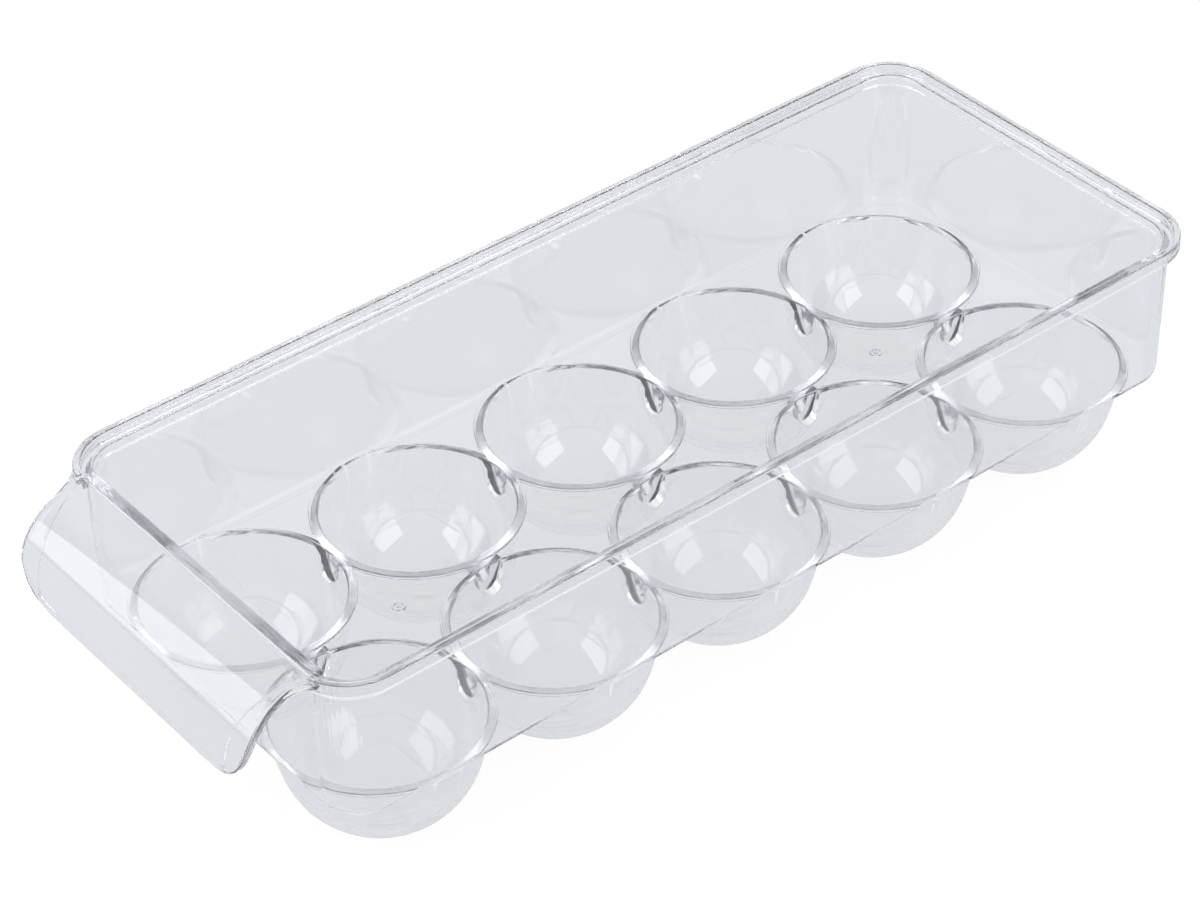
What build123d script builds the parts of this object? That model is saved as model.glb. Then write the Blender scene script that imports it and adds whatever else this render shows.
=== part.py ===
from build123d import *
from math import asin, atan2, cos, hypot, pi, radians, sin, sqrt, tan
import os

# Clear egg tray for a refrigerator: an open bin with ten egg cups and a scooped handle.
# Millimetres. +X runs along the tray away from the handle, +Y is its left side, +Z is up.
# The origin is the centre of the footprint, on the plane that the cups stand on.

# Overall sizes
overall_length = 278.6
overall_width = 111.2
overall_height = 69.8

# Walls and floor
wall_thickness = 1.8
wall_draft = 0.5
deck_thickness = 1.6
bottom_edge_radius = 3.0
inner_corner_radius = 9.6

# Stepped stacking rim
rim_lip_width = 1.8
rim_lip_drop = 1.6
rim_reach = 4.5
rim_face_height = 3.5
rim_step_reach = 1.2
rim_step_height = 1.8
ledge_edge_radius = 0.7
lip_edge_radius = 0.5

# Egg cups
cups_per_row = 5
rows_offset = -0.5
row_end_margin = 1.0
mouth_gap = 2.2
mouth_row_gap = 4.4
mouth_wall_gap = 1.1
mouth_flare = 1.5
bowl_centre_depth = 6.1
bowl_flat_radius = 1.0
cup_wall = 1.7
foot_radius = 4.0
ring_width = 2.3
ring_height = 0.6
ring_edge_radius = 0.35
web_width = 8.0
web_depth = 7.0

# Moulding gate marks on the deck
gate_radius = 1.7
gate_bore_radius = 1.1
gate_nub_radius = 0.5
gate_height = 0.3

# Handle
handle_width = 88.8
handle_radius = 19.4
handle_sweep = 103.0
trim_angle = 10.0
handle_thickness = 1.6
handle_run = 0.9
handle_drop = 0.3
handle_corner_radius = 14.0
handle_edge_radius = 0.7
band_thickness = 2.2
band_width_at_root = 0.2
band_width_at_tip = 7.5
flare_radius = 9.0

# The tray's length, without what the handle adds in front of the sill
tray_length = overall_length + rim_reach - wall_thickness - handle_run - handle_radius
rear_rim_x = overall_length / 2
front_rim_x = rear_rim_x - tray_length
tray_centre_x = (rear_rim_x + front_rim_x) / 2
inner_length = tray_length - 2 * rim_reach
inner_width = overall_width - 2 * rim_reach
corner_x = inner_length / 2 - inner_corner_radius
corner_y = inner_width / 2 - inner_corner_radius

# Cups: the mouths are as wide as the room along the tray and across it allows
room_along = (inner_length - 2 * row_end_margin) / cups_per_row - mouth_gap
room_across = (inner_width - 2 * mouth_wall_gap - mouth_row_gap) / 2
mouth_radius = min(room_along, room_across) / 2
cup_pitch = 2 * mouth_radius + mouth_gap
row_pitch = 2 * mouth_radius + mouth_row_gap
bowl_radius = mouth_radius - mouth_flare
outer_mouth_radius = mouth_radius + ring_width
outer_bowl_radius = bowl_radius + cup_wall

# Cup heights, worked out from the foot upwards
bowl_centre_z = sqrt(outer_bowl_radius**2 - foot_radius**2)
ring_top_z = bowl_centre_z + bowl_centre_depth
deck_top_z = ring_top_z - ring_height
deck_bottom_z = deck_top_z - deck_thickness

# Rim heights, worked out from the top downwards
ledge_z = overall_height - rim_lip_drop
rim_face_bottom_z = overall_height - rim_face_height
rim_bottom_z = rim_face_bottom_z - rim_step_height
wall_height = rim_bottom_z - deck_bottom_z
wall_lean = wall_height * tan(radians(wall_draft))

# Longer than the whole tray, for cuts that run right through it
far = 400.0


# The outline of the tray at a distance outside the inner face of its wall
def tray_outline(distance):
    RectangleRounded(
        inner_length + 2 * distance,
        inner_width + 2 * distance,
        inner_corner_radius + distance,
    )


# A plane across the tray at a height, centred on the tray
def tray_plane(height):
    return Plane.XY.offset(height).shift_origin((tray_centre_x, 0, height))


# The part of a solid that lies between two planes along X and two along Y
def cut_out(whole, x_low, x_high, y_low, y_high):
    with BuildPart() as piece:
        add(whole)
        with Locations(((x_low + x_high) / 2, (y_low + y_high) / 2, 0)):
            Box(x_high - x_low, y_high - y_low, far, mode=Mode.INTERSECT)
    return piece.part


# Every finished piece gets its name and its own file
def save(piece, name):
    piece.label = name
    export_step(piece, "parts/" + name + ".step")


os.makedirs("parts", exist_ok=True)

# Where the cups stand, and where the gaps between neighbours in a row are
first_cup_x = tray_centre_x + rows_offset - (cups_per_row - 1) / 2 * cup_pitch
cup_xs = [first_cup_x + i * cup_pitch for i in range(cups_per_row)]
gap_xs = [x + cup_pitch / 2 for x in cup_xs[:-1]]
row_ys = {"left": row_pitch / 2, "right": -row_pitch / 2}
cup_spots = [(x, y) for y in row_ys.values() for x in cup_xs]

# Tapered outside of the tray up to the rim, with its rounded bottom edge
with BuildPart() as tray_outside:
    with BuildSketch(tray_plane(deck_bottom_z)):
        tray_outline(wall_thickness - wall_lean)
    extrude(amount=wall_height, taper=-wall_draft)
    fillet(tray_outside.faces().sort_by(Axis.Z)[0].edges(), bottom_edge_radius)

# Tapered inside of the tray, run down through the floor
with BuildPart() as tray_inside:
    with BuildSketch(tray_plane(deck_bottom_z)):
        tray_outline(-wall_lean)
    extrude(amount=wall_height, taper=-wall_draft)

with BuildPart() as wall_ring:
    add(tray_outside.part)
    add(tray_inside.part, mode=Mode.SUBTRACT)


# Half angle of the cone that runs from a mouth down to where it touches the bowl's sphere
def mouth_draft(mouth, bowl):
    slant = hypot(mouth, bowl_centre_depth)
    return atan2(mouth, bowl_centre_depth) - asin(bowl / slant)


# A turned cup: a cone from its mouth down to a sphere, which is cut flat at a height
def turned_cup(mouth, bowl, top_z, flat_radius):
    draft = mouth_draft(mouth, bowl)
    touch_radius = bowl * cos(draft)
    touch_z = bowl_centre_z - bowl * sin(draft)
    top_radius = mouth + (top_z - ring_top_z) * tan(draft)
    low_radius = bowl * sin(radians(45))
    flat_z = bowl_centre_z - sqrt(bowl**2 - flat_radius**2)
    with BuildPart() as cup:
        with BuildSketch(Plane.XZ):
            with BuildLine():
                Line((0, top_z), (top_radius, top_z))
                Line((top_radius, top_z), (touch_radius, touch_z))
                ThreePointArc(
                    (touch_radius, touch_z),
                    (low_radius, bowl_centre_z - low_radius),
                    (flat_radius, flat_z),
                )
                Line((flat_radius, flat_z), (0, flat_z))
                Line((0, flat_z), (0, top_z))
            make_face()
        revolve(axis=Axis.Z)
    return cup.part


# The room inside every cup runs up past the mouth, and the cup's own bulk runs up into the deck
cup_room = turned_cup(mouth_radius, bowl_radius, ring_top_z + ring_height, bowl_flat_radius)
cup_bulk = turned_cup(outer_mouth_radius, outer_bowl_radius, deck_top_z, foot_radius)

# Deck: the floor plate, pierced by the mouths, with two gate marks where four cups meet
with BuildPart() as deck:
    add(tray_outside.part)
    add(tray_inside.part, mode=Mode.INTERSECT)
    with Locations((tray_centre_x, 0, deck_top_z + far / 2)):
        Box(far, far, far, mode=Mode.SUBTRACT)
    with BuildSketch(Plane.XY.offset(deck_top_z)):
        with Locations((gap_xs[0], 0), (gap_xs[-1], 0)):
            Circle(gate_radius)
            Circle(gate_bore_radius, mode=Mode.SUBTRACT)
            Circle(gate_nub_radius)
    extrude(amount=gate_height)
    with Locations(*[(x, y, 0) for x, y in cup_spots]):
        add(cup_room, mode=Mode.SUBTRACT)
save(deck.part, "deck")

# Mouth rings: one chain of five raised rings for each row
for side, y in row_ys.items():
    with BuildPart() as rings:
        with BuildSketch(Plane.XY.offset(deck_top_z)):
            with Locations(*[(x, y) for x in cup_xs]):
                Circle(outer_mouth_radius)
        extrude(amount=ring_height)
        fillet(rings.faces().sort_by(Axis.Z)[-1].edges(), ring_edge_radius)
        with Locations(*[(x, y, 0) for x in cup_xs]):
            add(cup_room, mode=Mode.SUBTRACT)
        with Locations((tray_centre_x, y, 0)):
            Box(far, row_pitch, far, mode=Mode.INTERSECT)
        add(tray_inside.part, mode=Mode.INTERSECT)
    save(rings.part, "mouth_rings_" + side)

# Egg cups: bowls that hang below the deck and stand on small flat feet
# Neighbours in a row meet at the plane between them
for side, y in row_ys.items():
    for number, x in enumerate(cup_xs, 1):
        x_low = -far if number == 1 else x - cup_pitch / 2
        x_high = far if number == cups_per_row else x + cup_pitch / 2
        with BuildPart() as egg_cup:
            add(cut_out(Pos(x, y, 0) * cup_bulk, x_low, x_high, y - row_pitch / 2, y + row_pitch / 2))
            with Locations((x, y, 0)):
                add(cup_room, mode=Mode.SUBTRACT)
            add(tray_outside.part, mode=Mode.SUBTRACT)
        save(egg_cup.part, "egg_cup_" + side + "_" + str(number))


# Webs: plastic that fills the narrow gaps where neighbouring cups come close under the deck
# They run from cup to cup, along the normal of the given plane
def webs(plane, spots, pitch):
    with BuildPart() as fill:
        for spot in spots:
            with BuildSketch(Plane(origin=spot, x_dir=plane.x_dir, z_dir=plane.z_dir)):
                with BuildLine():
                    Line((-web_width / 2, 0), (web_width / 2, 0))
                    Line((web_width / 2, 0), (web_width / 2, web_width / 2 - web_depth))
                    RadiusArc(
                        (web_width / 2, web_width / 2 - web_depth),
                        (-web_width / 2, web_width / 2 - web_depth),
                        web_width / 2,
                    )
                    Line((-web_width / 2, web_width / 2 - web_depth), (-web_width / 2, 0))
                make_face()
            extrude(amount=pitch / 2, both=True)
        with Locations(*[(x, y, 0) for x, y in cup_spots]):
            add(cup_bulk, mode=Mode.SUBTRACT)
    return fill.part


for side, y in row_ys.items():
    save(webs(Plane.YZ, [(x, y, deck_bottom_z) for x in gap_xs], cup_pitch), "cup_webs_" + side)
save(webs(Plane.XZ, [(x, 0, deck_bottom_z) for x in cup_xs], row_pitch), "cup_webs_middle")

# Walls: four straight runs and four rounded corners
x_ends = {"front": (-far, tray_centre_x - corner_x), "rear": (tray_centre_x + corner_x, far)}
y_ends = {"left": (corner_y, far), "right": (-far, -corner_y)}
x_middle = (tray_centre_x - corner_x, tray_centre_x + corner_x)
y_middle = (-corner_y, corner_y)
for end, x_span in x_ends.items():
    save(cut_out(wall_ring.part, *x_span, *y_middle), end + "_wall")
    for side, y_span in y_ends.items():
        save(cut_out(wall_ring.part, *x_span, *y_span), "corner_" + end + "_" + side)
for side, y_span in y_ends.items():
    save(cut_out(wall_ring.part, *x_middle, *y_span), side + "_wall")

# Rim: a ledge and a raised lip on top of the wall, over a small step on the outside
with BuildPart() as rim_ring:
    with BuildSketch(tray_plane(rim_bottom_z)):
        tray_outline(wall_thickness + rim_step_reach)
    extrude(amount=rim_step_height)
    with BuildSketch(tray_plane(rim_face_bottom_z)):
        tray_outline(rim_reach)
    extrude(amount=rim_face_height)
    lip_top = rim_ring.faces().sort_by(Axis.Z)[-1]
    fillet(lip_top.edges(), lip_edge_radius)
    with BuildSketch(tray_plane(ledge_z)):
        tray_outline(rim_reach - rim_lip_width)
    extrude(amount=rim_lip_drop, mode=Mode.SUBTRACT)
    with BuildSketch(tray_plane(rim_bottom_z)):
        tray_outline(0)
    extrude(amount=ledge_z - rim_bottom_z, mode=Mode.SUBTRACT)
    ledge = rim_ring.faces().filter_by(Plane.XY).group_by(Axis.Z)[-2][0]
    fillet(ledge.inner_wires()[0].edges(), ledge_edge_radius)

# The two front corners of the rim stop at the handle
handle_half = handle_width / 2
rim_y_ends = {"front": {"left": (handle_half, far), "right": (-far, -handle_half)}, "rear": y_ends}
rim_corners = {}
for end, x_span in x_ends.items():
    for side, y_span in rim_y_ends[end].items():
        rim_corners[end, side] = cut_out(rim_ring.part, *x_span, *y_span)
        save(rim_corners[end, side], "rim_corner_" + end + "_" + side)
save(cut_out(rim_ring.part, *x_ends["rear"], *y_middle), "rim_rear")
for side, y_span in y_ends.items():
    save(cut_out(rim_ring.part, *x_middle, *y_span), "rim_" + side)

# Front sill: the rounded top edge of the front wall, between the two front rim corners
with BuildPart() as front_sill:
    with BuildSketch(tray_plane(rim_bottom_z)):
        tray_outline(wall_thickness)
    extrude(amount=overall_height - rim_bottom_z)
    with BuildSketch(tray_plane(rim_bottom_z)):
        tray_outline(0)
    extrude(amount=overall_height - rim_bottom_z, mode=Mode.SUBTRACT)
    fillet(front_sill.faces().sort_by(Axis.Z)[-1].edges(), lip_edge_radius)
save(cut_out(front_sill.part, *x_ends["front"], -handle_half, handle_half), "front_sill")

# Handle: a scoop that leaves the sill outwards and curls down in front of the wall
sill_face_x = front_rim_x + rim_reach - wall_thickness
handle_axis_x = sill_face_x - handle_run
handle_top_z = overall_height - handle_drop
handle_axis_z = handle_top_z - handle_radius
front_corner_x = tray_centre_x - corner_x

# Seen from above, each end of the handle flares into the rim corner through an inward curve
# The flare touches the end of the handle at one point and the outer face of the rim at the other
rim_corner_radius = inner_corner_radius + rim_reach
flare_centre_y = handle_half + flare_radius
flare_rise = flare_centre_y - corner_y
flare_reach = sqrt((rim_corner_radius + flare_radius) ** 2 - flare_rise**2)
flare_centre_x = front_corner_x - flare_reach
flare_angle = atan2(flare_rise, flare_reach)
rim_touch = (
    front_corner_x - rim_corner_radius * cos(flare_angle),
    corner_y + rim_corner_radius * sin(flare_angle),
)
flare_middle = (
    flare_centre_x + flare_radius * sin((pi / 2 - flare_angle) / 2),
    flare_centre_y - flare_radius * cos((pi / 2 - flare_angle) / 2),
)

# Where the end of the handle runs into the middle of the rim's lip
lip_middle_radius = rim_corner_radius - rim_lip_width / 2
lip_middle_x = front_corner_x - sqrt(lip_middle_radius**2 - (handle_half - corner_y) ** 2)


# The flares at both ends of the handle, from above
with BuildSketch() as flares:
    with BuildLine():
        ThreePointArc((flare_centre_x, handle_half), flare_middle, rim_touch)
        Line(rim_touch, (lip_middle_x, handle_half))
        Line((lip_middle_x, handle_half), (flare_centre_x, handle_half))
    make_face()
    mirror(about=Plane.XZ)


# The handle from the front, with its two rounded lower corners
tip_z = handle_axis_z + handle_radius * cos(radians(handle_sweep))
with BuildSketch(Plane.YZ) as handle_front:
    with Locations((0, (tip_z + far) / 2)):
        RectangleRounded(handle_width, far - tip_z, handle_corner_radius)


# The scoop at one thickness, still as wide as the whole handle
# Its curl runs on a little past the tip, where the outline from the front trims it level
def scoop(thickness):
    with BuildSketch(Plane.XZ) as section:
        with BuildLine():
            axis = (handle_axis_x, handle_axis_z)
            outside = CenterArc(axis, handle_radius, 90, handle_sweep + trim_angle)
            inside = CenterArc(axis, handle_radius - thickness, 90, handle_sweep + trim_angle)
            Line(outside @ 1, inside @ 1)
            Line(inside @ 0, (sill_face_x, handle_top_z - thickness))
            Line((sill_face_x, handle_top_z - thickness), (sill_face_x, handle_top_z))
            Line((sill_face_x, handle_top_z), outside @ 0)
        make_face()
    with BuildPart() as flare_plates:
        extrude(section.sketch, amount=handle_width, both=True)
        extrude(flares.sketch, amount=overall_height, mode=Mode.INTERSECT)
    with BuildPart() as plate:
        extrude(section.sketch, amount=handle_half, both=True)
        extrude(handle_front.sketch, amount=far, both=True, mode=Mode.INTERSECT)
        skins = plate.faces().filter_by(GeomType.CYLINDER).sort_by(SortBy.AREA)[-2:]
        outline = (skins[0].edges() + skins[1].edges()).filter_by_position(
            Axis.X, -far, handle_axis_x - handle_edge_radius
        )
        fillet(outline, handle_edge_radius)
        add(flare_plates.part)
    return plate.part


# Half widths of the grip between its two end bands, which widen away from the tray
grip_root = handle_half - band_width_at_root
grip_tip = handle_half - band_width_at_tip
tip_x = -overall_length / 2

with BuildPart() as handle_grip:
    add(scoop(handle_thickness))
    with BuildSketch():
        with BuildLine():
            Polyline(
                (sill_face_x, -grip_root),
                (tip_x, -grip_tip),
                (tip_x, grip_tip),
                (sill_face_x, grip_root),
                close=True,
            )
        make_face()
    extrude(amount=overall_height, mode=Mode.INTERSECT)
save(handle_grip.part, "handle_grip")

with BuildPart() as handle_end:
    add(scoop(band_thickness))
    with BuildSketch():
        with BuildLine():
            Polyline(
                (sill_face_x, grip_root),
                (tip_x, grip_tip),
                (tip_x, handle_width),
                (sill_face_x, handle_width),
                close=True,
            )
        make_face()
    extrude(amount=overall_height, mode=Mode.INTERSECT)
    add(rim_corners["front", "left"], mode=Mode.SUBTRACT)
save(handle_end.part, "handle_end_left")
save(mirror(handle_end.part, about=Plane.XZ), "handle_end_right")
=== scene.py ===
# %% [markdown]
# # A clear egg tray for the refrigerator
# The real tray is one injection moulding in clear styrene plastic. Ten cups hang below a floor,
# four thin walls stand round it, a stepped rim runs along the top and a curled handle sits in front.
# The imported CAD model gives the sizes. It is made of abutting solids, and in a see-through plastic
# each joint between two solids would show as a seam. So here the moulding is rebuilt to the same
# sizes as one closed skin, and that skin stands for all the CAD nodes.

# %% Load the frame
from math import acos, asin, atan2, cos, degrees, hypot, pi, radians, sin, sqrt, tan

import bmesh
import bpy
from mathutils import Matrix, Vector


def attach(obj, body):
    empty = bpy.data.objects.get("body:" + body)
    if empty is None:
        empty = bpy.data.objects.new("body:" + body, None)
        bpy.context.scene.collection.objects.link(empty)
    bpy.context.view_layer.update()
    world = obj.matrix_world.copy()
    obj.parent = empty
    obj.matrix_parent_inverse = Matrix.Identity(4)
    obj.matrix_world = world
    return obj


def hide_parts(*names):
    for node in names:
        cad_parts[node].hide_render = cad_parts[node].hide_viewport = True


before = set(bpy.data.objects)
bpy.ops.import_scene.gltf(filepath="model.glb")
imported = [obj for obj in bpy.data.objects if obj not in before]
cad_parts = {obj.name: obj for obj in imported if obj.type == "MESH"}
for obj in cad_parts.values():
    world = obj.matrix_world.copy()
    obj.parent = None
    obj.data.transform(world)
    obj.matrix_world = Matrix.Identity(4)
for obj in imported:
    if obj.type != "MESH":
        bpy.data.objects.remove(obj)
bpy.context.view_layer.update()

# %% [markdown]
# ## Real sizes
# The sizes are the ones that the CAD model was built from, in millimetres. Two forms are finer here:
# the sides of the webs lean a little, and the top of the sill slopes into the handle. Blender works
# in metres, so each point is scaled by a thousandth once, when its mesh is made.

# %% Sizes of the tray in millimetres
MM = 0.001
inner_length = 252.0
inner_width = 102.2
corner_radius = 9.6
tray_centre_x = 8.8
wall = 1.8
wall_lean = 0.32

deck_bottom = 27.666
deck_top = 29.266
ring_top = 29.866
wall_top = 64.5
rim_top = 69.8
ledge = 68.2
rim_face_bottom = 66.3

handle_half = 44.4
print("tray", inner_length, "x", inner_width, "inside; rim at", rim_top)

# %% [markdown]
# ## A skin from rings of points
# Most of the moulding can be described as rings of points that follow each other, such as the
# outline of the tray at one height after another. Such a shape could be modelled by hand from a cube
# with bevels, but then no size could be read back from it. One helper joins neighbouring rings with
# quads. It either caps the two ends or joins the last ring to the first, so the result is always
# closed. A closed mesh is what the boolean modifier and the refraction of light both need.

# %% The skin helper
def skin(name, rings, wrap=False):
    mesh = bmesh.new()
    rows = [[mesh.verts.new((x * MM, y * MM, z * MM)) for x, y, z in ring] for ring in rings]
    pairs = list(zip(rows, rows[1:]))
    if wrap:
        pairs.append((rows[-1], rows[0]))
    else:
        mesh.faces.new(rows[0])
        mesh.faces.new(rows[-1])
    for low, high in pairs:
        for i in range(len(low)):
            j = (i + 1) % len(low)
            mesh.faces.new((low[i], low[j], high[j], high[i]))
    bmesh.ops.recalc_face_normals(mesh, faces=mesh.faces)
    data = bpy.data.meshes.new(name)
    mesh.to_mesh(data)
    mesh.free()
    piece = bpy.data.objects.new(name, data)
    bpy.context.scene.collection.objects.link(piece)
    return piece


# %% An arc in a section, as a list of points
def arc(centre, radius, start, end, steps=6):
    turns = [radians(start + (end - start) * i / steps) for i in range(steps + 1)]
    return [(centre[0] + radius * cos(t), centre[1] + radius * sin(t)) for t in turns]


print("a quarter circle has", len(arc((0, 0), 1, 0, 90)), "points")

# %% [markdown]
# ## Walls and floor
# Seen from above, the tray is a rectangle with rounded corners. A section through its edge is a list
# of points: how far each lies outside the inner face of the wall, and how high. Running that section
# round the outline gives the underside, the rounded bottom edge, the leaning wall and the floor in
# one go, with a small fillet where the wall meets the floor, as a mould cutter leaves it.

# %% The outline of the tray, seen from above
CORNER_STEPS = 14
corner_x = inner_length / 2 - corner_radius
corner_y = inner_width / 2 - corner_radius


def corner_points(sign_x, sign_y, start, distance):
    centre = (tray_centre_x + sign_x * corner_x, sign_y * corner_y)
    return arc(centre, corner_radius + distance, start, start + 90, CORNER_STEPS)


def outline(distance):
    return (
        corner_points(1, 1, 0, distance)
        + corner_points(-1, 1, 90, distance)
        + corner_points(-1, -1, 180, distance)
        + corner_points(1, -1, 270, distance)
    )


print("points round the tray:", len(outline(0)))

# %% The walls and the floor
BOTTOM_RADIUS = 3.0
BOTTOM_STEPS = 10
FLOOR_FILLET = 0.8
# The section reaches this far in under the floor and over it. Flat caps close the middle
FLOOR_REACH = 8.0
# The wall reaches this far up into the rim, so that the two overlap when they are joined
WALL_OVERLAP = 0.4
lean_per_mm = wall_lean / (wall_top - deck_bottom)
wall_end = wall_top + WALL_OVERLAP


def inner_face(height):
    return (height - wall_top) * lean_per_mm


bottom_centre = (wall + inner_face(deck_bottom) - BOTTOM_RADIUS, deck_bottom + BOTTOM_RADIUS)
fillet_centre = (inner_face(deck_top) - FLOOR_FILLET, deck_top + FLOOR_FILLET)
edge_section = [(-FLOOR_REACH, deck_bottom)]
edge_section += arc(bottom_centre, BOTTOM_RADIUS, -90, 0, BOTTOM_STEPS)
edge_section += [(wall + inner_face(wall_end), wall_end), (inner_face(wall_end), wall_end)]
edge_section += arc(fillet_centre, FLOOR_FILLET, 0, -90)
edge_section += [(-FLOOR_REACH, deck_top)]

moulding = skin("tray_moulding", [[(x, y, z) for x, y in outline(d)] for d, z in edge_section])
print("walls and floor:", len(moulding.data.polygons), "faces")

# %% [markdown]
# ## The stepped rim
# The rim lets one tray stand on another. Its section has a ledge on the inside, a raised lip, a tall
# outer face and a small second step below it. It runs along both sides, round the back and round the
# two front corners, where it stops at the handle. Each edge is rounded a little, because these narrow
# rounded edges are what catches the light along the rim of a clear moulding. A bevel modifier could
# round them too, but a section drawn point by point gives each edge its own radius.

# %% The section of the rim
RIM_REACH = 4.5
LIP_WIDTH = 1.8
LIP_RADIUS = 0.5
LEDGE_RADIUS = 0.7
STEP_REACH = 3.0
STEP_RADIUS = 0.25
STEP_FILLET = 0.2
STEP_PARTS = 4
RIM_FILLET = 0.3
lip_inner = RIM_REACH - LIP_WIDTH
step_centre = (STEP_REACH + STEP_FILLET, rim_face_bottom - STEP_FILLET)

# Up the inner face, over the ledge and the lip, then down the outer face and the two steps
rim_section = [(wall / 2, wall_top - RIM_FILLET), (0.0, wall_top), (0.0, ledge - LEDGE_RADIUS)]
rim_section += arc((LEDGE_RADIUS, ledge - LEDGE_RADIUS), LEDGE_RADIUS, 180, 90)
rim_section += arc((lip_inner - RIM_FILLET, ledge + RIM_FILLET), RIM_FILLET, -90, 0)
rim_section += arc((lip_inner + LIP_RADIUS, rim_top - LIP_RADIUS), LIP_RADIUS, 180, 90)
rim_section += arc((RIM_REACH - LIP_RADIUS, rim_top - LIP_RADIUS), LIP_RADIUS, 90, 0)
rim_section += arc((RIM_REACH - STEP_RADIUS, rim_face_bottom + STEP_RADIUS), STEP_RADIUS, 0, -90, STEP_PARTS)
rim_section += arc(step_centre, STEP_FILLET, 90, 180, STEP_PARTS)
rim_section += arc((STEP_REACH - STEP_RADIUS, wall_top + STEP_RADIUS), STEP_RADIUS, 0, -90, STEP_PARTS)
rim_section += arc((wall + RIM_FILLET, wall_top - RIM_FILLET), RIM_FILLET, 90, 180, STEP_PARTS)
print("points in the rim's section:", len(rim_section))

# %% The line of the rim, seen from above
front_corner_x = tray_centre_x - corner_x


# At which angle an arc round a front corner meets the end of the handle
def stop_angle(half, radius):
    return degrees(asin((half - corner_y) / radius))


def front_corner(sign_y, distance):
    radius = corner_radius + distance
    stop = stop_angle(handle_half, radius)
    centre = (front_corner_x, sign_y * corner_y)
    if sign_y > 0:
        return arc(centre, radius, 180 - stop, 90, CORNER_STEPS)
    return arc(centre, radius, 270, 180 + stop, CORNER_STEPS)


def rim_outline(distance):
    left_front = front_corner(1, distance)
    right_front = front_corner(-1, distance)
    left_rear = corner_points(1, 1, 0, distance)[::-1]
    right_rear = corner_points(1, -1, 270, distance)[::-1]
    return left_front + left_rear + right_rear + right_front


print("points along the rim:", len(rim_outline(0)))

# %% The rim, run round three sides
def along(section, run):
    lines = [[(x, y, z) for x, y in run(d)] for d, z in section]
    return [list(ring) for ring in zip(*lines)]


rim = skin("rim", along(rim_section, rim_outline))
print("rim:", len(rim.data.polygons), "faces")

# %% [markdown]
# ## The front sill
# Between the two front corners the wall runs up to the full height of the rim. Its inner edge is
# rounded, and its top slopes down to meet the handle, which springs from its outer face. It is made
# in the same way as the rim, from a section and a line.

# %% The sill
# How far out each point of the sloping top lies, and how far below the rim's top
SILL_SLOPE = [(1.1, 0.04), (1.5, 0.16), (wall, 0.28)]
SILL_OVERLAP = 0.02
SILL_STEPS = 4
sill_section = [(wall / 2, wall_top - RIM_FILLET), (0.0, wall_top)]
sill_section += arc((LIP_RADIUS, rim_top - LIP_RADIUS), LIP_RADIUS, 180, 90)
sill_section += [(out, rim_top - down) for out, down in SILL_SLOPE]
sill_section += [(wall, wall_top)]


def sill_outline(distance):
    radius = corner_radius + distance
    stop = stop_angle(handle_half + SILL_OVERLAP, radius)
    left = arc((front_corner_x, corner_y), radius, 180 - stop, 180, SILL_STEPS)
    right = arc((front_corner_x, -corner_y), radius, 180, 180 + stop, SILL_STEPS)
    return left + right


sill = skin("sill", along(sill_section, sill_outline))
print("sill:", len(sill.data.polygons), "faces")

# %% [markdown]
# ## The handle
# The handle is a strip of plastic that leaves the sill, curls over and points down in front of the
# wall. Seen from the front it is a plate with two rounded lower corners, and seen from above its two
# ends flare into the corners of the rim. Each end carries a thicker band, whose border is a straight
# line seen from above. A flat plate with a thickness and a bend modifier would come close, but its
# ends would not meet the rim exactly. So the mesh follows the strip ring by ring, from the sill to
# the tip. The two skins of the strip come closer together near its outline, which rounds the edge.

# %% Sizes of the handle
CURL_RADIUS = 19.4
CURL_SWEEP = 103.0
HANDLE_TOP = 69.5
HANDLE_RUN = 0.9
TIP_RADIUS = 14.0
FLARE_RADIUS = 9.0
GRIP_THICKNESS = 1.6
BAND_THICKNESS = 2.2
EDGE_RADIUS = 0.7
ROOT_FILLET = 1.4
sill_face_x = tray_centre_x - inner_length / 2 - wall
axis_x = sill_face_x - HANDLE_RUN
axis_z = HANDLE_TOP - CURL_RADIUS
tip_height = axis_z + CURL_RADIUS * cos(radians(CURL_SWEEP))
strip_length = HANDLE_RUN + radians(CURL_SWEEP) * CURL_RADIUS
print("strip", round(strip_length, 2), "mm long; tip at", round(tip_height, 2))

# %% Where the ends flare into the rim
# An arc touches the side of the handle and the outer face of the rim's corner
flare_y = handle_half + FLARE_RADIUS
rim_radius = corner_radius + RIM_REACH
flare_x = front_corner_x - sqrt((rim_radius + FLARE_RADIUS) ** 2 - (flare_y - corner_y) ** 2)
flare_share = rim_radius / (rim_radius + FLARE_RADIUS)
rim_touch_x = front_corner_x - (front_corner_x - flare_x) * flare_share
print("flare from", round(flare_x, 2), "to", round(rim_touch_x, 2))

# %% From the strip to the curl
# A point of the strip is given by its run from the sill, its place across and its depth in the strip
def on_curl(run, across, depth):
    if run < HANDLE_RUN:
        return (sill_face_x - run, across, HANDLE_TOP - depth)
    turn = (run - HANDLE_RUN) / CURL_RADIUS
    radius = CURL_RADIUS - depth
    return (axis_x - radius * sin(turn), across, axis_z + radius * cos(turn))


def run_at_height(height):
    return HANDLE_RUN + CURL_RADIUS * acos((height - axis_z) / CURL_RADIUS)


def run_at_x(x):
    return HANDLE_RUN + CURL_RADIUS * asin((axis_x - x) / CURL_RADIUS)


print("foremost point of the curl at x", round(on_curl(run_at_height(axis_z), 0, 0)[0], 2))

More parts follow.
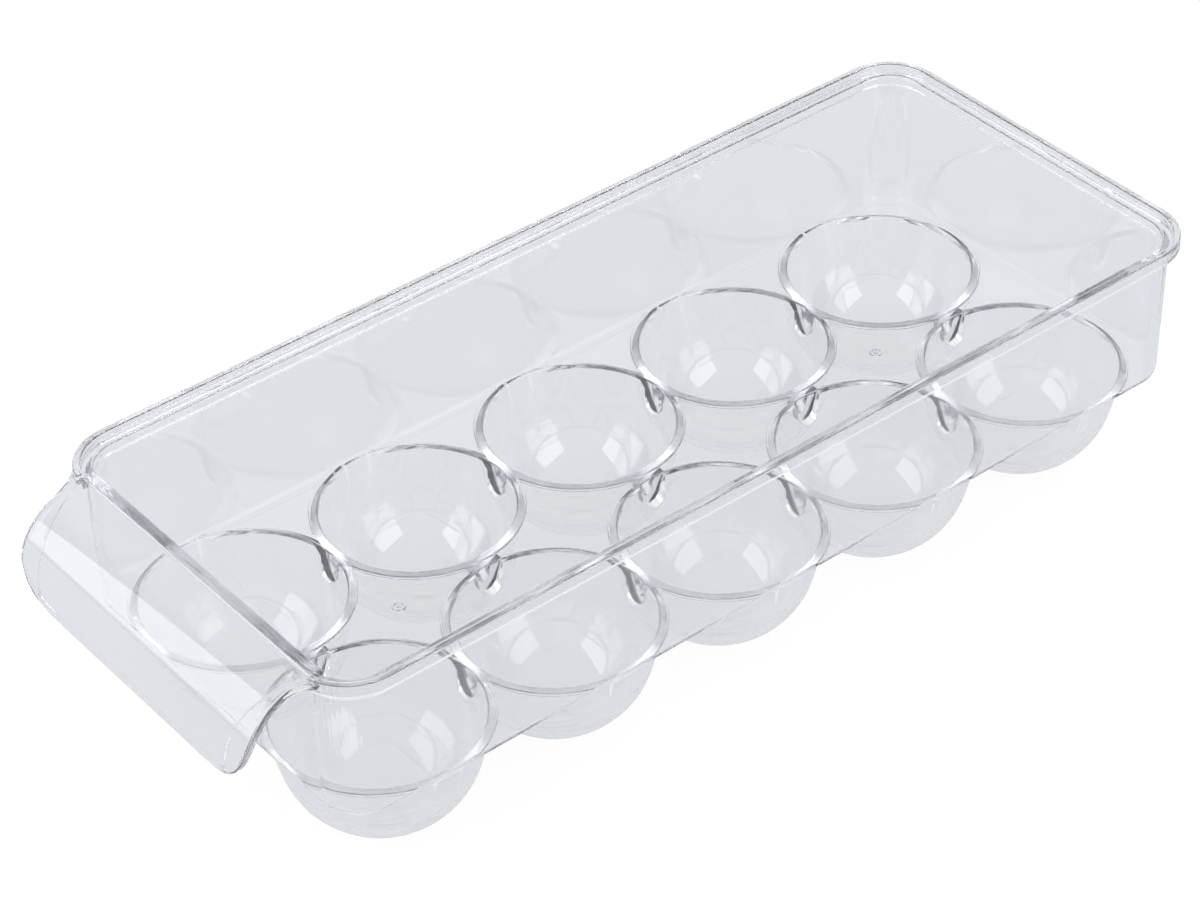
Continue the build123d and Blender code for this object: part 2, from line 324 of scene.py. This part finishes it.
# %% The outline of the strip
# Half the width of the strip: narrower round the lower corners, wider where it flares into the rim
def half_width(run):
    x, _, height = on_curl(run, 0, 0)
    low = tip_height + TIP_RADIUS - height
    if low > 0:
        return handle_half - TIP_RADIUS + sqrt(max(0.0, TIP_RADIUS**2 - low**2))
    into_flare = min(max(0.0, x - flare_x), rim_touch_x - flare_x)
    return flare_y - sqrt(FLARE_RADIUS**2 - into_flare**2)


# How far a point of the strip lies inside its outline
def inset(run, across):
    x, _, height = on_curl(run, 0, 0)
    low = tip_height + TIP_RADIUS - height
    side = abs(across) - (handle_half - TIP_RADIUS)
    if low > 0 and side > 0:
        return TIP_RADIUS - hypot(low, side)
    if x > flare_x and low < 0:
        return hypot(min(x, rim_touch_x) - flare_x, flare_y - abs(across)) - FLARE_RADIUS
    return min(handle_half - abs(across), height - tip_height)


# How deep a face lies below its full height near the outline, which rounds the edge
def edge_drop(distance):
    short = max(0.0, EDGE_RADIUS - distance)
    return EDGE_RADIUS - sqrt(max(0.0, EDGE_RADIUS**2 - short**2))


print("half width at the sill and at the tip:", round(half_width(0), 1), round(half_width(strip_length), 1))

# %% The thick band at each end
BAND_STEP = 0.5
BAND_AT_ROOT = 0.2
BAND_AT_TIP = 7.5
BAND_LEAST = 1.4


# Where the band begins, measured across from the middle of the strip
def band_line(run):
    x = on_curl(run, 0, 0)[0]
    share = (sill_face_x - x) / (HANDLE_RUN + CURL_RADIUS)
    border = handle_half - BAND_AT_ROOT - (BAND_AT_TIP - BAND_AT_ROOT) * share
    return min(border, half_width(run) - BAND_LEAST)


# The grip, a soft step up to the band, and a fillet under the strip where it leaves the sill
def thickness(run, across):
    step = (abs(across) - band_line(run)) / BAND_STEP + 0.5
    step = min(1.0, max(0.0, step))
    band = GRIP_THICKNESS + (BAND_THICKNESS - GRIP_THICKNESS) * step * step * (3 - 2 * step)
    root = max(0.0, ROOT_FILLET - max(0.0, run))
    return band + ROOT_FILLET - sqrt(max(0.0, ROOT_FILLET**2 - root**2))


print("band at the tip begins", round(band_line(strip_length), 1), "mm from the middle")

# %% Where the rings of the strip lie
# They lie close together over the fillet at the sill, where the underside bends most
ROOT_RUNS = [-0.9, 0.0, 0.25, 0.5, 0.75, 1.0, 1.3, 1.6, 2.0]
FLARE_RINGS = 12
CURL_RINGS = 24
TIP_RINGS = 24
flare_run = run_at_x(flare_x)
corner_run = run_at_height(tip_height + TIP_RADIUS)
root_end = ROOT_RUNS[-1]
runs = ROOT_RUNS + [root_end + (flare_run - root_end) * i / FLARE_RINGS for i in range(1, FLARE_RINGS)]
runs += [flare_run + (corner_run - flare_run) * i / CURL_RINGS for i in range(CURL_RINGS)]
for i in range(TIP_RINGS + 1):
    runs.append(run_at_height(tip_height + TIP_RADIUS * (1 - sin(radians(90 * i / TIP_RINGS)))))
print("rings of the handle:", len(runs))

# %% The places across the strip at one run: edge, band, step and grip, then mirrored
EDGE_PARTS = 7
BAND_PARTS = 5
STEP_HALF = 0.3
SOFT_STEP_PARTS = 8
GRIP_PARTS = 6


def places_across(run):
    turns = [radians(90 * i / EDGE_PARTS) for i in range(EDGE_PARTS + 1)]
    edge = [half_width(run) - EDGE_RADIUS * (1 - cos(turn)) for turn in turns]
    line = band_line(run)
    step = [line + STEP_HALF - 2 * STEP_HALF * i / SOFT_STEP_PARTS for i in range(SOFT_STEP_PARTS + 1)]
    band = [edge[-1] + (step[0] - edge[-1]) * i / BAND_PARTS for i in range(1, BAND_PARTS)]
    grip = [step[-1] * (1 - i / GRIP_PARTS) for i in range(1, GRIP_PARTS)]
    half = edge + band + step + grip
    return half + [0.0] + [-y for y in half[::-1]]


print("places across the strip:", len(places_across(0)))

# %% The handle
rings = []
for run in runs:
    ys = places_across(run)
    drops = [edge_drop(inset(max(run, 0.0), y)) for y in ys]
    top = [on_curl(run, y, drop) for y, drop in zip(ys, drops)]
    under = [on_curl(run, y, thickness(run, y) - drop) for y, drop in zip(ys, drops)]
    rings.append(top + under[::-1])
handle = skin("handle", rings)
print("handle:", len(handle.data.polygons), "faces")

# %% [markdown]
# ## Turned cups
# Each cup is turned round an upright axis, so its shape is a half outline that is spun. The outer
# bulk and the room inside are two such bodies: a cone from the mouth down to where it touches a
# sphere, and the sphere down to a small flat. A raised bead runs round each mouth. The screw modifier
# spins an outline too. The ring helper is used instead, because it closes the body in the same step.

# %% A turned body
TURN_STEPS = 112


def turned(name, x, y, profile, steps=TURN_STEPS, wrap=False):
    angles = [2 * pi * i / steps for i in range(steps)]
    rings = [[(x + r * cos(a), y + r * sin(a), z) for a in angles] for r, z in profile]
    return skin(name, rings, wrap)


print("a turned body has", TURN_STEPS, "sides")

# %% The line of a cup from its mouth down to its flat
BOWL_CENTRE_DEPTH = 6.1
BOWL_STEPS = 22
MOUTH = 23.9
BOWL = 22.4
ROOM_FLAT = 1.0
OUTER_MOUTH = 26.2
OUTER_BOWL = 24.1
FOOT = 4.0


def cup_line(mouth, bowl, flat):
    centre = ring_top - BOWL_CENTRE_DEPTH
    slant = hypot(mouth, BOWL_CENTRE_DEPTH)
    draft = degrees(atan2(mouth, BOWL_CENTRE_DEPTH) - asin(bowl / slant))
    lowest = degrees(acos(flat / bowl))
    return draft, arc((0, centre), bowl, -draft, -lowest, BOWL_STEPS)


bulk_draft, bulk_bowl = cup_line(OUTER_MOUTH, OUTER_BOWL, FOOT)
room_draft, room_bowl = cup_line(MOUTH, BOWL, ROOM_FLAT)
print("cup drafts:", round(bulk_draft, 2), round(room_draft, 2))

# %% The bulk, the room and the bead of a cup
# The bulk ends inside the floor, and the room reaches past the top of the bead
BULK_SINK = 0.3
ROOM_ABOVE = 2.0
MOUTH_RADIUS = 0.5
bulk_top = deck_top - BULK_SINK
bulk_profile = [(OUTER_MOUTH + (bulk_top - ring_top) * tan(radians(bulk_draft)), bulk_top)] + bulk_bowl

slope = radians(room_draft)
mouth_edge = MOUTH - MOUTH_RADIUS * tan(slope) + MOUTH_RADIUS / cos(slope)
room_profile = [(mouth_edge, ring_top + ROOM_ABOVE)]
room_profile += arc((mouth_edge, ring_top - MOUTH_RADIUS), MOUTH_RADIUS, 90, 180 - room_draft)
room_profile += room_bowl

BEAD_RADIUS = 0.35
BEAD_STEPS = 5
bead_inner = MOUTH - 1.5
bead_root = deck_top - 0.6
bead_profile = [(bead_inner, bead_root), (bead_inner, ring_top)]
bead_profile += arc((OUTER_MOUTH - BEAD_RADIUS, ring_top - BEAD_RADIUS), BEAD_RADIUS, 90, 0, BEAD_STEPS)
bead_profile += [(OUTER_MOUTH, bead_root)]
print("points in the three outlines:", len(bulk_profile), len(room_profile), len(bead_profile))

# %% [markdown]
# ## Webs between the cups
# Where two cups come close under the floor, the real mould leaves the narrow gap filled. Each web is
# a short bar that runs from one cup into the next. Its sides lean by a draft angle, so that the part
# comes out of the mould, and its lower edge is round. Two copies of one section make the bar.

# %% One web
WEB_TIP = 3.2
WEB_DEPTH = 7.0
WEB_DRAFT = 14
WEB_STEPS = 16
web_root = deck_bottom + 0.6


def web(x, y, along_x, along_y):
    low = deck_bottom - WEB_DEPTH + WEB_TIP
    bottom = arc((0, low), WEB_TIP, 180 + WEB_DRAFT, 360 - WEB_DRAFT, WEB_STEPS)
    root_half = WEB_TIP * cos(radians(WEB_DRAFT)) + (web_root - bottom[0][1]) * tan(radians(WEB_DRAFT))
    section = [(root_half, web_root), (-root_half, web_root)] + bottom
    ends = []
    for side in (-1, 1):
        end_x = x + side * along_x
        end_y = y + side * along_y
        ends.append([(end_x + w * (along_y > 0), end_y + w * (along_x > 0), z) for w, z in section])
    return skin("web", ends)


print("lowest edge of a web:", round(deck_bottom - WEB_DEPTH, 2))

# %% [markdown]
# ## Joining everything into one skin
# The pieces overlap, and a boolean union removes the overlaps. The solver called Manifold is fast and
# exact enough for closed pieces such as these. Each step is applied at once, which keeps the pile of
# modifiers short. The rooms of the cups are cut out after beads and webs are joined, so they run
# cleanly through both.

# %% Joining and cutting
def combine(base, tool, operation):
    step = base.modifiers.new("join", "BOOLEAN")
    step.solver = "MANIFOLD"
    step.operation = operation
    step.object = tool
    graph = bpy.context.evaluated_depsgraph_get()
    data = bpy.data.meshes.new_from_object(base.evaluated_get(graph))
    base.modifiers.clear()
    base.data = data
    bpy.data.objects.remove(tool)


# %% Cups, webs and beads
cup_xs = [-91.7, -41.7, 8.3, 58.3, 108.3]
cup_ys = [26.1, -26.1]
gap_xs = [-66.7, -16.7, 33.3, 83.3]
ROW_WEB_HALF = 5.0
MIDDLE_WEB_HALF = 6.0
cup_places = [(x, y) for y in cup_ys for x in cup_xs]

for y in cup_ys:
    for x in cup_xs:
        combine(moulding, turned("bulk", x, y, bulk_profile), "UNION")
    for x in gap_xs:
        combine(moulding, web(x, y, ROW_WEB_HALF, 0), "UNION")
for x in cup_xs:
    combine(moulding, web(x, 0, 0, MIDDLE_WEB_HALF), "UNION")
for x, y in cup_places:
    combine(moulding, turned("bead", x, y, bead_profile), "UNION")
for x, y in cup_places:
    combine(moulding, turned("room", x, y, room_profile), "DIFFERENCE")
print("moulding with", len(cup_places), "cups:", len(moulding.data.polygons), "faces")

# %% Rim, sill and handle
# The flared ends of the handle would fill the ledge at the two corners. A prism cuts them back to
# the middle of the lip before the handle is joined
LEDGE_ROOM_HEIGHTS = (60.0, 75.0)
LEDGE_ROOM_STEPS = 16
lip_middle = corner_radius + RIM_REACH - LIP_WIDTH / 2
stop = stop_angle(handle_half, lip_middle)
for sign in (1, -1):
    centre = (front_corner_x, sign * corner_y)
    plan = arc(centre, lip_middle, 90 * sign, sign * (180 - stop), LEDGE_ROOM_STEPS)
    plan += [(front_corner_x, sign * handle_half)]
    ledge_room = skin("ledge_room", [[(x, y, z) for x, y in plan] for z in LEDGE_ROOM_HEIGHTS])
    combine(handle, ledge_room, "DIFFERENCE")
for tool in (rim, sill, handle):
    combine(moulding, tool, "UNION")
print("moulding:", len(moulding.data.polygons), "faces")

# %% [markdown]
# ## Marks of the moulding gates
# Molten plastic enters the mould at two points on the floor, each where four cups meet. The gate
# leaves a small raised ring with a nub in its middle. Both are real shapes here, not bump in the
# material, because a clear plastic shows them by the way they bend the light.

# %% Gate marks
# Radius and height over the floor of each point
GATE_RING = [(1.1, -0.2), (1.1, 0.2), (1.2, 0.3), (1.55, 0.3), (1.7, 0.15), (1.7, -0.2)]
GATE_NUB = [(0.5, -0.2), (0.5, 0.15), (0.35, 0.28), (0.1, 0.3)]
GATE_STEPS = 32
ring_profile = [(r, deck_top + height) for r, height in GATE_RING]
nub_profile = [(r, deck_top + height) for r, height in GATE_NUB]
for x in (gap_xs[0], gap_xs[-1]):
    combine(moulding, turned("gate_ring", x, 0, ring_profile, GATE_STEPS, wrap=True), "UNION")
    combine(moulding, turned("gate_nub", x, 0, nub_profile, GATE_STEPS), "UNION")
print("moulding with gate marks:", len(moulding.data.polygons), "faces")

# %% [markdown]
# ## Smooth and flat where the real surface is
# Light bends at every point by the direction that the surface faces there. Edges sharper than 35
# degrees stay sharp, and all others are shaded as one smooth surface. Weighted normals give the large
# flat faces the say over their own borders, so that walls and floor stay optically flat.

# %% Shading of the skin
SHARP_ANGLE = radians(35)
data = moulding.data
data.polygons.foreach_set("use_smooth", [True] * len(data.polygons))
data.set_sharp_from_angle(angle=SHARP_ANGLE)
weigh = moulding.modifiers.new("flat_faces_rule", "WEIGHTED_NORMAL")
weigh.keep_sharp = True
weigh.weight = 100
print("sharp edges:", sum(1 for edge in data.edges if edge.use_edge_sharp))

# %% [markdown]
# ## Clear moulded styrene
# Clear polystyrene bends light more than window glass does: its index is about 1.59. A glass shader
# would do for a perfect piece. The Principled shader is used because it also takes a trace of white
# haze, which real plastic has. Moulded against polished steel the surface is glossy, and a noise lets
# its roughness wander between 0.01 and 0.05. A weak absorption in its depth gives the cool grey tint
# that shows where light has come through several walls.

# %% Helpers for colours and nodes
def colour(hex_code):
    channels = [int(hex_code[i:i + 2], 16) / 255 for i in (1, 3, 5)]
    linear = [c / 12.92 if c <= 0.04045 else ((c + 0.055) / 1.055) ** 2.4 for c in channels]
    return (*linear, 1.0)


# A key names an input socket, gives its number, or names a property of the node
def add_node(tree, kind, settings=None, links=None):
    node = tree.nodes.new(kind)
    for key, value in (settings or {}).items():
        if isinstance(key, int) or key in node.inputs:
            node.inputs[key].default_value = value
        else:
            setattr(node, key, value)
    for key, source in (links or {}).items():
        tree.links.new(source, node.inputs[key])
    return node


def new_material(name):
    material = bpy.data.materials.new(name)
    material.use_nodes = True
    material.node_tree.nodes.clear()
    return material, material.node_tree


print("middle grey in linear light:", round(colour("#808080")[0], 3))

# %% The plastic
# The polish of the mould changes from patch to patch, about every 17 mm
PATCHES_PER_METRE = 60.0
styrene, tree = new_material("clear_polystyrene_moulded")
place = add_node(tree, "ShaderNodeTexCoord")
patches = add_node(
    tree,
    "ShaderNodeTexNoise",
    {"Scale": PATCHES_PER_METRE, "Detail": 3.0, "Roughness": 0.6},
    {"Vector": place.outputs["Object"]},
)
polish = add_node(
    tree,
    "ShaderNodeMapRange",
    {"From Min": 0.35, "From Max": 0.75, "To Min": 0.01, "To Max": 0.05},
    {"Value": patches.outputs["Fac"]},
)
clear = add_node(
    tree,
    "ShaderNodeBsdfPrincipled",
    {"Base Color": colour("#FEFEFE"), "IOR": 1.59, "Transmission Weight": 0.985},
    {"Roughness": polish.outputs["Result"]},
)
depth = add_node(tree, "ShaderNodeVolumeAbsorption", {"Color": colour("#A0A9BF"), "Density": 4.5})
add_node(tree, "ShaderNodeOutputMaterial", {}, {"Surface": clear.outputs[0], "Volume": depth.outputs[0]})
moulding.data.materials.clear()
moulding.data.materials.append(styrene)
print("nodes in the plastic:", len(tree.nodes))

# %% What the moulding stands for
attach(moulding, "root")
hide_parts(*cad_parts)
print("the moulding stands for", len(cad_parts), "nodes")

# %% [markdown]
# ## Floor and surroundings
# The photograph has a plain white background. The camera sees the floor as white, and the plastic
# sees a slightly greyer one, which is what makes a clear object stand out from white. A share of the
# floor stays matt paper, and that share takes the shadow. The room is pale too, with a darker flag to
# either side of the tray, as a photographer sets up for clear things. The flags draw the grey lines
# along the rims of the cups.

# %% The floor
FLOOR_HALF = 3
floor_mesh = bmesh.new()
for x, y in ((-1, -1), (1, -1), (1, 1), (-1, 1)):
    floor_mesh.verts.new((x * FLOOR_HALF, y * FLOOR_HALF, 0))
floor_mesh.faces.new(floor_mesh.verts[:])
floor_data = bpy.data.meshes.new("floor")
floor_mesh.to_mesh(floor_data)
floor_mesh.free()
floor = bpy.data.objects.new("floor", floor_data)
bpy.context.scene.collection.objects.link(floor)
print("floor:", 2 * FLOOR_HALF, "m square")

# %% The paper on the floor
GLOW_SHARE = 0.88
paper, tree = new_material("white_sweep_paper")
path = add_node(tree, "ShaderNodeLightPath")
matt = add_node(tree, "ShaderNodeBsdfDiffuse", {"Color": colour("#E6E6E6")})
seen = add_node(tree, "ShaderNodeEmission", {"Color": (1, 1, 1, 1), "Strength": 1.06})
through = add_node(tree, "ShaderNodeEmission", {"Color": colour("#E1E4E9"), "Strength": 1.0})
glow = add_node(
    tree,
    "ShaderNodeMixShader",
    {},
    {0: path.outputs["Is Camera Ray"], 1: through.outputs[0], 2: seen.outputs[0]},
)
direct = add_node(
    tree,
    "ShaderNodeMath",
    {"operation": "MAXIMUM"},
    {0: path.outputs["Is Camera Ray"], 1: path.outputs["Is Transmission Ray"]},
)
watched = add_node(
    tree,
    "ShaderNodeMath",
    {"operation": "MAXIMUM"},
    {0: direct.outputs[0], 1: path.outputs["Is Glossy Ray"]},
)
share = add_node(tree, "ShaderNodeMath", {"operation": "MULTIPLY", 1: GLOW_SHARE}, {0: watched.outputs[0]})
both = add_node(
    tree,
    "ShaderNodeMixShader",
    {},
    {0: share.outputs[0], 1: matt.outputs[0], 2: glow.outputs[0]},
)
add_node(tree, "ShaderNodeOutputMaterial", {}, {"Surface": both.outputs[0]})
floor.data.materials.append(paper)
print("nodes in the paper:", len(tree.nodes))

# %% The room, with a grey flag to either side
FLAG_BEARING = radians(-38)
FLAG_START = 0.6
FLAG_FULL = 0.95
ROOM_STRENGTH = 0.95
world = bpy.data.worlds.new("studio")
bpy.context.scene.world = world
world.use_nodes = True
tree = world.node_tree
tree.nodes.clear()
path = add_node(tree, "ShaderNodeLightPath")
direction = add_node(tree, "ShaderNodeTexCoord")
sideways = add_node(
    tree,
    "ShaderNodeVectorMath",
    {"operation": "DOT_PRODUCT", 1: (cos(FLAG_BEARING), sin(FLAG_BEARING), 0)},
    {0: direction.outputs["Generated"]},
)
either_side = add_node(tree, "ShaderNodeMath", {"operation": "ABSOLUTE"}, {0: sideways.outputs["Value"]})
tone = add_node(tree, "ShaderNodeValToRGB", {}, {0: either_side.outputs[0]})
pale, grey = tone.color_ramp.elements
pale.position = FLAG_START
pale.color = colour("#FAFAFB")
grey.position = FLAG_FULL
grey.color = colour("#8D97A8")
room_light = add_node(tree, "ShaderNodeBackground", {"Strength": ROOM_STRENGTH}, {"Color": tone.outputs[0]})
white = add_node(tree, "ShaderNodeBackground", {"Color": (1, 1, 1, 1), "Strength": 1.0})
mixed = add_node(
    tree,
    "ShaderNodeMixShader",
    {},
    {0: path.outputs["Is Camera Ray"], 1: room_light.outputs[0], 2: white.outputs[0]},
)
add_node(tree, "ShaderNodeOutputWorld", {}, {"Surface": mixed.outputs[0]})
print("nodes in the room:", len(tree.nodes))

# %% [markdown]
# ## Lamps
# Two soft boxes stand in front of the handle and beside the long near wall, one to each side of the
# camera. They give each cup its pair of pale upright patches, and the left one also draws the streak
# along the handle. An area lamp is right for this, because its square shape shows in the reflection.

# %% The soft boxes
BOX_DISTANCE = 1.3
AIM_HEIGHT = 0.03


def soft_box(name, bearing, elevation, width, height, power):
    lamp = bpy.data.lights.new(name, "AREA")
    lamp.shape = "RECTANGLE"
    lamp.size = width
    lamp.size_y = height
    lamp.energy = power
    flat = BOX_DISTANCE * cos(radians(elevation))
    rise = BOX_DISTANCE * sin(radians(elevation))
    stand = Vector((flat * cos(radians(bearing)), flat * sin(radians(bearing)), rise + AIM_HEIGHT))
    box = bpy.data.objects.new(name, lamp)
    bpy.context.scene.collection.objects.link(box)
    box.location = stand
    box.rotation_euler = (Vector((0, 0, AIM_HEIGHT)) - stand).to_track_quat("-Z", "Y").to_euler()
    print(name, "at", [round(v, 2) for v in stand])


soft_box("soft_box_left", bearing=161, elevation=26, width=1.2, height=1.05, power=6.5)
soft_box("soft_box_right", bearing=-72, elevation=24, width=0.95, height=1.2, power=5.6)

# %% [markdown]
# ## Room for light to bounce
# Light runs a long way inside a clear moulding: it is reflected again and again between the two faces
# of a wall before it finds an edge. The usual limit of four glossy bounces would end it inside and
# draw every edge black, so the limits are raised.

# %% Bounce limits
BOUNCES = 128
cycles = bpy.context.scene.cycles
print("bounces before:", cycles.max_bounces, cycles.glossy_bounces, cycles.transmission_bounces)
cycles.max_bounces = BOUNCES
cycles.glossy_bounces = BOUNCES
cycles.transmission_bounces = BOUNCES

# %% [markdown]
# ## Camera
# The camera looks down on the tray from beside the handle. Its place, aim, tilt and lens were fitted
# to the ten round mouths of the cups, whose size and spacing repeat.

# %% The camera
AZIMUTH = radians(-38.207)
ELEVATION = radians(38.441)
ROLL = radians(-1.554)
DISTANCE = 0.8738
SENSOR_MM = 36
LENS_MM = 107.46
target = Vector((0.00517, 0.01429, 0.02987))
back = Vector((sin(AZIMUTH) * cos(ELEVATION), -cos(AZIMUTH) * cos(ELEVATION), sin(ELEVATION)))
level = Vector((cos(AZIMUTH), sin(AZIMUTH), 0))
upright = back.cross(level)
right = cos(ROLL) * level + sin(ROLL) * upright
up = -sin(ROLL) * level + cos(ROLL) * upright
facing = Matrix((right, up, back)).transposed().to_4x4()

camera_data = bpy.data.cameras.new("camera")
camera_data.sensor_width = SENSOR_MM
camera_data.lens = LENS_MM
camera = bpy.data.objects.new("camera", camera_data)
bpy.context.scene.collection.objects.link(camera)
camera.matrix_world = Matrix.Translation(target + DISTANCE * back) @ facing
bpy.context.scene.camera = camera
bpy.context.scene.view_settings.view_transform = "Standard"
print("camera at", [round(v, 3) for v in camera.matrix_world.translation])
